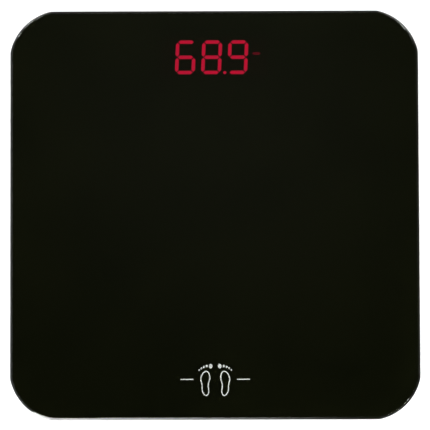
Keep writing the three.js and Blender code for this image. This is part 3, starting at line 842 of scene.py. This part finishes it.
def foot_cap():
    cap = turned([
        (0, 2.2, 0), (20.5, 2.2, 0.1), (21.5, 3.2, 0.5), (21.5, 6.1, 0.15), (24.1, 6.1, 0.2),
        (24.1, 7.6, 0.3), (19.7, 7.6, 0.3), (19.7, 4, 0.5), (5, 4, 0.5), (5, 10.5, 0.4), (0, 10.5, 0),
    ])
    ribs = [swung(mm_box((-20.2, -0.7, 3.5), (20.2, 0.7, 6.1)), turn) for turn in (45, 135)]
    return joined(cap, *ribs)


def foot_pad():
    profile = [(0, 0.5, 0), (2.4, 0.5, 0.15), (2.8, 0, 0.15)]
    for groove in (7.2, 11.4, 15.6):
        profile += [
            (groove - 0.8, 0, 0.15), (groove - 0.4, 0.6, 0.15), (groove + 0.4, 0.6, 0.15),
            (groove + 0.8, 0, 0.15),
        ]
    return turned(profile + [(18.4, 0, 0.3), (19, 0.6, 0.2), (19, 2.2, 0.1), (0, 2.2, 0)])


for foot in feet:
    body = "foot_" + foot
    piece("pod_" + foot, stood(pod_housing(), foot), "housing_plastic", "pod_housing_" + foot)
    piece("ring_" + foot, stood(pod_ring(), foot), "housing_plastic", "pod_ring_" + foot)
    cap = piece("cap_" + foot, stood(foot_cap(), foot), "foot_plastic", "foot_cap_" + foot, body)
    pad = piece("pad_" + foot, stood(foot_pad(), foot), "foot_rubber", "foot_pad_" + foot, body)
print("a cap has", len(cap.data.polygons), "faces and a pad", len(pad.data.polygons))

# %% [markdown]
# ## Load cells and strain gauges
#
# The cell is a steel stamping: a square frame round a tongue. The frame's own stamping is exact
# already, so we take a copy of it, merge its triangles into flat faces, and break its edges as a
# tumbler does. The gauge glued to the tongue's root lies under a pale coating. That is a soft patch,
# so its upper rim is rounded much more.

# %% Cells and gauges
for foot in feet:
    cell = "load_cell_" + foot
    gauge_low, gauge_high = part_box("strain_gauge_" + foot)
    patch = slab(gauge_low, gauge_high, 1.5 * MM, steps=12)
    eased(patch, edges_at(patch, gauge_high.z), 0.45 * MM, segments=4)
    piece("steel_" + cell, refined(cell, 0.15 * MM), "cell_steel", cell)
    piece("coated_gauge_" + foot, patch, "gauge_coating", "strain_gauge_" + foot)
print("four cells and gauges in")

# %% [markdown]
# ## Leads and clips
#
# A round lead takes each cell's signal to the board. To sweep a bar along a path, we start from a
# disc, and pull it on again and again: each time it is swung to the new heading and moved to the
# next point. The discs left behind inside the bar are deleted. The path itself is a chain of Bezier
# curves, whose handles are a third of each stretch long, so that it can't overshoot where the
# stretches differ in length.

# %% Sweep a bar along a path
from mathutils.geometry import interpolate_bezier


def smooth_path(points, steps):
    """A smooth curve through points in millimetres, with so many steps in each stretch."""
    places = [mm(*point) for point in points]
    headings = []
    for i in range(len(places)):
        before = places[max(i - 1, 0)]
        after = places[min(i + 1, len(places) - 1)]
        headings.append((after - before).normalized())
    path = []
    for (a, b), (leaving, arriving) in zip(zip(places, places[1:]), zip(headings, headings[1:])):
        third = (b - a).length / 3
        path += interpolate_bezier(a, a + leaving * third, b - arriving * third, b, steps + 1)[:-1]
    return path + [places[-1]]


def swept(points, radius, steps=6, sides=16):
    """A round bar of that radius in millimetres, its ends eased."""
    path = smooth_path(points, steps)
    heading = path[1] - path[0]
    bm = bmesh.new()
    ring = bmesh.ops.create_circle(bm, cap_ends=True, segments=sides, radius=radius * MM)["verts"]
    facing = heading.to_track_quat("Z", "Y").to_matrix().to_4x4()
    bmesh.ops.transform(bm, verts=ring, matrix=Matrix.Translation(path[0]) @ facing)
    end = ring[0].link_faces[0]
    inner = []
    for here, there, onward in zip(path, path[1:], path[2:] + [path[-1] * 2 - path[-2]]):
        made = bmesh.ops.extrude_face_region(bm, geom=[end])["geom"]
        rim = only(bmesh.types.BMVert, made)
        inner.append(end)
        end = only(bmesh.types.BMFace, made)[0]
        swing = heading.rotation_difference(onward - here).to_matrix()
        bmesh.ops.rotate(bm, verts=rim, cent=here, matrix=swing)
        bmesh.ops.translate(bm, verts=rim, vec=there - here)
        heading = onward - here
    bmesh.ops.delete(bm, geom=inner[1:], context="FACES_ONLY")
    bmesh.ops.recalc_face_normals(bm, faces=bm.faces)
    bm.normal_update()
    eased(bm, sharp_edges(bm, 60), radius * 0.25 * MM)
    return bm


print("a swept bar has", len(swept([(0, 0, 0), (5, 0, 0), (9, 3, 0)], 1).faces), "faces")


# %% Four leads, two clips
lead_z = 14.2
lead_start = 101.2
lead_entries = (105.1, 112.0)
bend_shares = (0, 0.15, 0.3, 0.45, 0.6, 0.75, 0.88, 1)


def lead_tail(side, y):
    """From the housing's wall down onto the end of the board."""
    return [
        (side * 64, y, lead_z), (side * 54.2, y, lead_z), (side * 49.7, y, 12.25),
        (side * 45.9, y, 10.5), (side * 42.4, y, 10.3),
    ]


for side, hand in ((-1, "left"), (1, "right")):
    straight = [(side * x, foot_reach, lead_z) for x in (lead_start, 78)]
    back = straight + lead_tail(side, lead_entries[1])
    bend = [(side * (foot_reach - 40 * t * t), 177.1 * t - 78, lead_z) for t in bend_shares]
    front = [(side * foot_reach, -lead_start, lead_z), *bend, *lead_tail(side, lead_entries[0])]
    for end, route in (("back", back), ("front", front)):
        name = f"sensor_lead_{end}_{hand}"
        piece("sheathed_" + name, swept(route, 1.0), "lead_sheath", name)
    clip = "lead_clip_" + hand
    piece("moulded_" + clip, refined(clip, 0.3 * MM), "clip_plastic", clip)
print("leads laid")

# %% [markdown]
# ## The housing
#
# One flat housing under the far edge holds the display, the board and the batteries. Its frame is
# glued to the glass. We build it as the mould maker would: an outer block, less the room inside,
# plus the battery bay's walls and the screw posts, less every hole. The cover closes it from below
# with a lip that locates it. Its screw heads sit in wells, and a round scoop lets a thumb reach the
# battery door's latch.

# %% Where things are in the housing
bay_half = 25.0
bay_near = 58.9
bay_far = 93.9
near_wall = 52.6
far_wall = 137.9
half_width = 58.0
cover_bottom = 3.0
cover_top = 4.6
glass_back = 17.2
screw_spots = [(x, y) for x in (-50.5, 50.5) for y in (59.6, 130.9)]
rim_ease = 0.5 * MM


def post(x, y, radius, low, high, steps=32):
    """An upright round body, to join on or to cut with."""
    return turned([(0, low, 0), (radius, low, 0), (radius, high, 0), (0, high, 0)], mm(x, y), steps)


def housing_slab(inset, low, high, ease=0.0):
    """The housing's outline, drawn in by inset, as a slab. All but ease are in millimetres."""
    start = mm(inset - half_width, near_wall + inset, low)
    return slab(start, mm(half_width - inset, far_wall - inset, high), (6 - inset) * MM, ease)


def underside_rims(bm):
    """The sharp edges that lie in the housing's lower face."""
    lowest = (cover_bottom + 0.01) * MM
    return [e for e in sharp_edges(bm, 40) if all(v.co.z < lowest for v in e.verts)]


print("the housing is", half_width * 2, "mm wide")


# %% The frame
def housing_frame():
    shell = cut(housing_slab(0, cover_top, glass_back), housing_slab(1.8, 3, 15.6))
    bay = cut(
        mm_box((-bay_half - 1.5, bay_near - 1.5, 4.9), (bay_half + 1.5, bay_far + 1.5, 16.1)),
        mm_box((-bay_half, bay_near, 3), (bay_half, bay_far, 15.6)),
    )
    body = joined(shell, bay, *[post(x, y, 3.2, 6.2, 16.1) for x, y in screw_spots])
    # The screws' bores, and the display's opening
    holes = [post(x, y, 1.5, 5, 15.2, 20) for x, y in screw_spots]
    holes.append(mm_box((-41.3, 99.2, 14), (41.3, 133.0, 18)))
    # Where the leads come in
    for y in lead_entries:
        for x in (-half_width, half_width):
            holes.append(mm_box((x - 4, y - 1.3, 12.9), (x + 4, y + 1.3, 15.5)))
    # Where the door's two tabs sit
    for x in (-15, 15):
        holes.append(mm_box((x - 3.3, bay_far - 0.5, 4.6), (x + 3.3, bay_far + 2, 9.1)))
    # Where the tags of the two end contacts leave the bay
    holes.append(mm_box((24.7, 63.2, 11.55), (27.3, 66.8, 13.55)))
    holes.append(mm_box((-27.3, 86.0, 11.55), (-24.7, 89.6, 13.55)))
    return cut(body, *holes)


frame_body = housing_frame()
eased(frame_body, [e for e in sharp_edges(frame_body, 60) if e.calc_length() > 20 * MM], 0.12 * MM)
piece("housing_shell", frame_body, "housing_plastic", "housing_frame")
print("frame made")


# %% The cover
def housing_cover():
    plate = housing_slab(0, cover_bottom, cover_top)
    eased(plate, edges_at(plate, cover_bottom * MM), rim_ease, segments=3)
    lip = cut(housing_slab(2.1, 4.1, 6.2, 0.15 * MM), housing_slab(3.3, 3.6, 7.2))
    bosses = [post(x, y, 3.2, 4.1, 6.2) for x, y in screw_spots]
    body = joined(plate, lip, *bosses)
    wells = [post(x, y, 2.9, 2, 4.7) for x, y in screw_spots]
    bores = [post(x, y, 1.5, 2, 7.2, 20) for x, y in screw_spots]
    opening = mm_box((-25.6, 58.3, 2), (25.6, 94.7, 5.6))
    scoop = turned([(0, 2, 0), (7, 2, 0), (5, 3.9, 0.6), (0, 3.9, 0)], mm(0, 57.3), 48)
    button_hole = post(40, 107.5, 4.3, 2, 5.6, 48)
    panel = slab(mm(-22, 104.5, 2), mm(22, 124.5, 3.2), 2 * MM)
    return cut(body, *wells, *bores, opening, scoop, button_hole, panel)


cover_body = housing_cover()
eased(cover_body, underside_rims(cover_body), 0.15 * MM)
piece("cover_plate", cover_body, "housing_plastic", "housing_cover")
print("cover made")

# %% [markdown]
# ## Door, screws and button
#
# The battery door is a thin panel that turns on two tabs. Two slots beside its near edge make a
# springy tongue, the latch, and three grooves across it give the thumb a hold. A shallow arrow
# shows which way the latch is pushed. The screws have a domed head with a cross, and the button is
# dished so that a finger finds it.

# %% The battery door
def battery_door():
    low, high = mm(-25.25, 58.65, cover_bottom), mm(25.25, 94.35, cover_top)
    panel = slab(low, high, 0.6 * MM, 0.2 * MM, steps=4)
    tabs = []
    for x in (-15, 15):
        tabs.append(mm_box((x - 3, 92.75, 4.75), (x + 3, 97.3, 5.55)))
        tabs.append(mm_box((x - 3, 92.75, 4.2), (x + 3, 94.2, 5.3)))
    gaps = [mm_box((x - 0.5, 57, 2), (x + 0.5, 66.65, 5)) for x in (-6.5, 6.5)]
    grooves = [mm_box((-4, y, 2), (4, y + 0.8, 3.4)) for y in (60.5, 62.3, 64.1)]
    arrow = swung(post(0, 72.5, 3.4, 2, 3.25, steps=3), -90, about=mm(0, 72.5))
    return cut(joined(panel, *tabs), *gaps, *grooves, arrow)


door_body = battery_door()
eased(door_body, underside_rims(door_body), 0.1 * MM)
piece("door_panel", door_body, "housing_plastic", "battery_door", "battery_door")
print("door made")


# %% Screws and button
def cover_screw(x, y, turn):
    """A pan-head screw. Its thread is rings, which is how a thread looks at this size."""
    profile = [
        (0, 3.3, 0), (1.5, 3.34, 0), (2.1, 3.55, 0.2), (2.6, 4.1, 0.2), (2.6, 4.7, 0.1), (1.0, 4.7, 0),
    ]
    for i in range(11):
        z = 5.2 + 0.7 * i
        profile += [(1.0, z, 0), (1.2, z + 0.2, 0), (1.0, z + 0.4, 0)]
    screw = turned(profile + [(0, 13.7, 0)], mm(x, y), 48)
    arms = [swung(mm_box((-1.4, -0.3, 2), (1.4, 0.3, 4.1)), turn + quarter) for quarter in (0, 90)]
    return cut(screw, *[moved(arm, mm(x, y)) for arm in arms])


for number, ((x, y), turn) in enumerate(zip(screw_spots, (12, 57, 31, 74)), start=1):
    name = f"cover_screw_{number}"
    piece("turned_" + name, cover_screw(x, y, turn), "screw_steel", name)

button_spot = mm(40, 107.5)
button = turned([
    (0, 2.85, 0), (2.2, 2.75, 0.5), (3.2, 2.6, 0.2), (4, 2.75, 0.3), (4, 4.7, 0.1), (5.2, 4.7, 0.1),
    (5.2, 5.3, 0.1), (0, 5.3, 0),
], button_spot, 64)
piece("dished_button", button, "button_plastic", "unit_button", "unit_button")
plunger = turned([(0, 5.3, 0), (1.7, 5.3, 0.15), (1.7, 6.3, 0.15), (0, 6.3, 0)], button_spot, 32)
piece("turned_plunger", plunger, "switch_plastic", "switch_plunger", "unit_button")
print("four screws and a button in")

# %% [markdown]
# ## Batteries and their contacts
#
# Three AAA cells lie side by side, every other one turned round. A cell is a lathe body laid on its
# side. Its wrap and its bare ends are one surface, so an attribute called bare, worked out from
# where each vertex is, tells the finish where the metal shows. The contacts are sprung plates. A
# coil spring is a swept bar whose path is a tapering helix.

# %% Cells
cell_rows = (65.0, 76.4, 87.8)
cell_z = 10.15
cell_start = -19.8


def battery(facing, y):
    """A cell turned upright, then laid on its side with its nub towards facing X."""
    profile = [
        (0, 0, 0), (4.2, 0, 0.2), (4.2, 0.15, 0.1), (4.85, 0.15, 0), (5.25, 0.5, 0.2), (5.25, 40.6, 0.1),
        (5.13, 40.7, 0), (5.13, 41.0, 0), (5.25, 41.1, 0.1), (5.25, 43.2, 0.3), (4.6, 43.7, 0.2),
        (1.9, 43.7, 0.1), (1.9, 44.5, 0.3), (0, 44.5, 0),
    ]
    bm = turned(profile, steps=64)
    bare = bm.verts.layers.float.new("bare")
    for v in bm.verts:
        across = math.hypot(v.co.x, v.co.y) / MM
        v[bare] = 1.0 if across < 4.7 else 0.0
    return moved(swung(bm, facing * 90, "Y"), mm(cell_start * facing, y, cell_z))


def battery_wrap():
    finish = Finish("battery_wrap")
    bare = finish.node("Attribute", {"attribute_name": "bare"}, out="Fac").between(0.2, 0.6)
    along = finish.node("SeparateXYZ", {}, {0: finish.place()}, out="X")
    scuffs = finish.noise(0.5 * MM, 4, stretch=(0.15, 1, 1))
    blue = finish.mix(scuffs.between(0.62, 0.75), (0.02, 0.075, 0.22, 1), (0.05, 0.12, 0.27, 1))
    band = abs(along).between(11.8 * MM, 12 * MM)
    printed = finish.mix(0.85 * band, blue, (0.42, 0.44, 0.46, 1))
    finish.varies(
        Base_Color=finish.mix(bare, printed, grey(0.62, 0.02)),
        Metallic=bare.larger(0.35), Roughness=0.26 + 0.2 * scuffs,
        Normal=finish.bump(scuffs, 0.004 * MM),
    )
    return finish


finishes["battery_wrap"] = battery_wrap()
for number, (y, facing) in enumerate(zip(cell_rows, (1, -1, 1)), start=1):
    piece(f"wrapped_cell_{number}", battery(facing, y), "battery_wrap", f"battery_{number}")
print("three cells in")


# %% Contacts and wires
bay_face = 24.7
coil_turns = 3.5


def coil(side, y):
    """A coil spring that tapers away from its plate, as a swept bar."""
    wire = []
    for i in range(71):
        share = i / 70
        angle = share * coil_turns * 2 * math.pi
        radius = 3.2 - 1.2 * share
        up, over = radius * math.sin(angle), radius * math.cos(angle)
        wire.append((side * (bay_face - 4.4 * share), y + over, cell_z + up))
    return swept(wire, 0.38, steps=1, sides=10)


def contact(name, side, rows, sprung, tabbed):
    """A plate against the bay's wall, with a spring for each cell that meets it with its flat end."""
    inner, outer = sorted((side * bay_face, side * bay_half))
    ys = [cell_rows[row] for row in rows]
    plate = mm_box((inner, min(ys) - 4.3, cell_z - 4.3), (outer, max(ys) + 4.3, cell_z + 4.3))
    through = [e for e in plate.edges if abs(e.verts[0].co.x - e.verts[1].co.x) > 0.1 * MM]
    eased(plate, through, 1.2 * MM, 4)
    extras = [coil(side, cell_rows[row]) for row in sprung]
    if tabbed:
        start, end = sorted((side * bay_face, side * 28.5))
        extras.append(mm_box((start, ys[0] - 1.5, cell_z + 2.25), (end, ys[0] + 1.5, cell_z + 2.55)))
    piece("sprung_" + name, joined(plate, *extras), "contact_nickel", name)


contact("contact_positive", 1, (0,), (), True)
contact("contact_link_right", 1, (1, 2), (1,), False)
contact("contact_link_left", -1, (0, 1), (0,), False)
contact("contact_negative", -1, (2,), (2,), True)

for colour, side, y, bow in (("red", 1, 65.0, 12), ("black", -1, 87.8, 5)):
    route = [
        (side * 28.8, y, 12.55), (side * 32.8, y + 2, 11.55), (side * 34.8, y + bow, 9.55),
        (side * 33.8, 94.5, 7.3), (side * 32.8, 100.5, 6.9), (side * 30.8, 104.5, 6.9),
    ]
    wire = "wire_" + colour
    piece("soft_" + wire, swept(route, 0.6), wire, "battery_" + wire)
print("contacts and wires in")

# %% [markdown]
# ## The board and what it carries
#
# Over the cover lies the circuit board. Its upper face carries the reflector, a dark block with a
# well for every bar of every digit, closed by the diffuser film. Its lower face carries the chip
# under a drop of black epoxy, a crystal in a steel can, a dipped capacitor and the switch that the
# button presses. The copper shows through the green resist as faint raised tracks.

# %% Board and diffuser finishes
def board_resin():
    finish = Finish("board_resin", Coat_Roughness=0.2)
    weave = finish.noise(0.6 * MM, 2)
    tracks = finish.node(
        "TexBrick", {"offset": 0.5},
        {"Vector": finish.place(), "Scale": 260.0, "Mortar Size": 0.05, "Mortar Smooth": 0.2},
        out="Fac",
    )
    finish.varies(
        Base_Color=finish.mix(tracks, (0.012, 0.085, 0.035, 1), (0.03, 0.17, 0.06, 1)),
        Roughness=0.38 + 0.12 * weave, Normal=finish.bump(tracks, 0.03 * MM),
    )
    return finish


def diffuser_film():
    finish = Finish("diffuser_film")
    haze = finish.noise(0.4 * MM, 2)
    shade = finish.mix(haze, (0.42, 0.008, 0.02, 1), (0.5, 0.012, 0.03, 1))
    finish.varies(Base_Color=shade, Roughness=0.5 + 0.15 * haze)
    return finish


finishes["board_resin"] = board_resin()
finishes["diffuser_film"] = diffuser_film()
print(len(finishes), "finishes in all")


# %% Board, reflector, film and components
board = slab(*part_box("main_board"), 1.2 * MM, 0.08 * MM, steps=6)
drills = [post(x, y, 1.1, 7, 10, 24) for x in (-44, 44) for y in (101.8, 132)]
piece("drilled_board", cut(board, *drills), "board_resin", "main_board")
piece("well_block", refined("led_reflector", 0.08 * MM), "reflector_plastic", "led_reflector")
film = slab(*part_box("led_diffuser"), 0.8 * MM, 0.04 * MM, steps=6)
piece("film", film, "diffuser_film", "led_diffuser")

drop_profile = [(0, 7.6, 0), (7.5, 7.6, 0), (6.9, 7.0, 0.8), (4.4, 6.3, 1.2), (0, 6.1, 0)]
piece("epoxy_drop", turned(drop_profile, mm(-12, 115.5), 72), "chip_epoxy", "controller_chip")

can = turned([
    (0, -3.6, 0), (0.9, -3.6, 0.2), (1.1, -3.3, 0.1), (1.1, -2.9, 0.05), (1.0, -2.8, 0.05), (1.0, 2.7, 0.1),
    (1.0, 3.2, 0.3), (0, 3.6, 0),
], steps=40)
piece("crystal_can", moved(swung(can, 90, "Y"), mm(4, 119.5, 6.4)), "screw_steel", "crystal")

dip = slab(*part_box("buffer_capacitor"), 1.6 * MM, 0.6 * MM)
piece("dipped_capacitor", dip, "capacitor_resin", "buffer_capacitor")
piece("tact_switch", refined("switch_body", 0.12 * MM), "switch_plastic", "switch_body")
print("the board is complete")

# %% [markdown]
# ## Floor and light
#
# A plain pale floor, lit so evenly that it turns white, is what sets off a black square. Large
# soft lamps stand all round at half height. None hangs overhead, because the glass is a mirror and
# from above it shows us the ceiling: a dark one keeps the glass black. Only a very faint, soft patch
# of it, a little beyond the middle, gives the black some depth. A low card in front is what the near
# arris mirrors, as a thin silver line that fades to the right. The floor is clear when seen from
# below, and a weak lamp under it lights the underside.

# %% The floor
def floor_finish():
    finish = Finish("floor", Specular_IOR_Level=0.1)
    cloud = finish.noise(0.8, 2)
    finish.varies(Base_Color=finish.mix(cloud, grey(0.86), grey(0.9)), Roughness=0.75 + 0.1 * cloud)
    behind = finish.node("NewGeometry", out="Backfacing")
    finish.clears(behind.larger(finish.node("LightPath", out="Is Shadow Ray")))
    return finish


def staged(name, bm, finish):
    """A thing of the studio, which is no part of the scale."""
    made = in_scene(name, bm)
    made.data.materials.append(finish.material)
    return made


floor_half = 10
floor_drop = 0.05 * MM
floor_mesh = bmesh.new()
bmesh.ops.create_grid(floor_mesh, x_segments=8, y_segments=8, size=floor_half)
floor = staged("floor", floor_mesh, floor_finish())
floor.location.z = -floor_drop
print("the floor is", floor_half * 2, "m wide")


# %% The lamps
lamp_size = 1.4


def softbox(name, spot, power):
    """A square lamp that looks at the scale. The camera doesn't see it."""
    lamp = bpy.data.lights.new(name, "AREA")
    lamp.size = lamp_size
    lamp.energy = power
    holder = bpy.data.objects.new(name, lamp)
    holder.location = spot
    holder.rotation_euler = (-Vector(spot)).to_track_quat("-Z", "Y").to_euler()
    holder.visible_camera = False
    scene.collection.objects.link(holder)


softbox("lamp_far_left", (-1.6, 1.7, 1.7), 112)
softbox("lamp_far_right", (1.7, 1.5, 1.6), 84)
softbox("lamp_near_left", (-1.7, -1.7, 1.6), 90)
softbox("lamp_near_right", (1.7, -1.7, 1.6), 84)
softbox("lamp_below", (0.2, -0.3, -1.6), 26)
print(len(bpy.data.lights), "lamps hung")


# %% The card that the near arris mirrors
card_size = (1.4, 0.2, 1)
card_spot = Vector((-0.40, -1.5, 0.15))
card_level = 13.0
card_fade = (-0.50, 0.26)


def card_finish():
    """Bright at the left, and dark from where the fade ends."""
    finish = Finish("card", Base_Color=grey(0), Emission_Strength=card_level)
    across = finish.node("SeparateXYZ", {}, {0: finish.place()}, out="X")
    finish.varies(Emission_Color=finish.mix(across.between(*card_fade), grey(1.0), grey(0.0)))
    return finish


card_mesh = bmesh.new()
bmesh.ops.create_grid(card_mesh, x_segments=1, y_segments=1, size=0.5)
bmesh.ops.scale(card_mesh, verts=card_mesh.verts, vec=card_size)
card = staged("card", moved(swung(card_mesh, -90, "X"), card_spot), card_finish())
card.visible_camera = False
print("the card fades over", round(card_fade[1] - card_fade[0], 2), "m")


# %% The room
class Room(Finish):
    """The world's nodes, laid out the same way as a finish's."""

    def __init__(self):
        world = bpy.data.worlds.new("room")
        world.use_nodes = True
        scene.world = world
        self.tree = world.node_tree

    def ramp(self, value, spans, kind="LINEAR"):
        """Maps one span of a value to another."""
        names = ("From Min", "From Max", "To Min", "To Max")
        inputs = dict(zip(names, spans), Value=value)
        return self.node("MapRange", {"interpolation_type": kind}, inputs)


left_wall, right_wall = 0.62, 0.22
ceiling_level = 0.012
patch_level = 0.060
patch_way = (0, 0.11, 0.99)
room = Room()
way = room.node("TexCoord", out="Generated")
right = room.node("SeparateXYZ", {}, {0: way}, out="X")
up = room.node("SeparateXYZ", {}, {0: way}, out="Z")
from_patch = room.node("VectorMath", {"operation": "DISTANCE"}, {0: way, 1: patch_way}, out="Value")
walls = room.ramp(right, (-1, 1, left_wall, right_wall))
overhead = room.ramp(from_patch, (0.02, 0.22, patch_level, ceiling_level), "SMOOTHSTEP")
room.feed(room.tree.nodes["Background"].inputs["Color"], room.ramp(up, (0.55, 0.97, walls, overhead)))
scene.view_settings.view_transform = "Standard"
print("the patch overhead is", round(patch_level / ceiling_level), "times as bright as the ceiling")

# %% [markdown]
# ## The last check
# The size of the frame's box is printed, in millimetres.
# The looks may not grow past the frame.

# %% Print the frame's box
print("frame box", [round(v / MM, 2) for v in cad_high - cad_low])
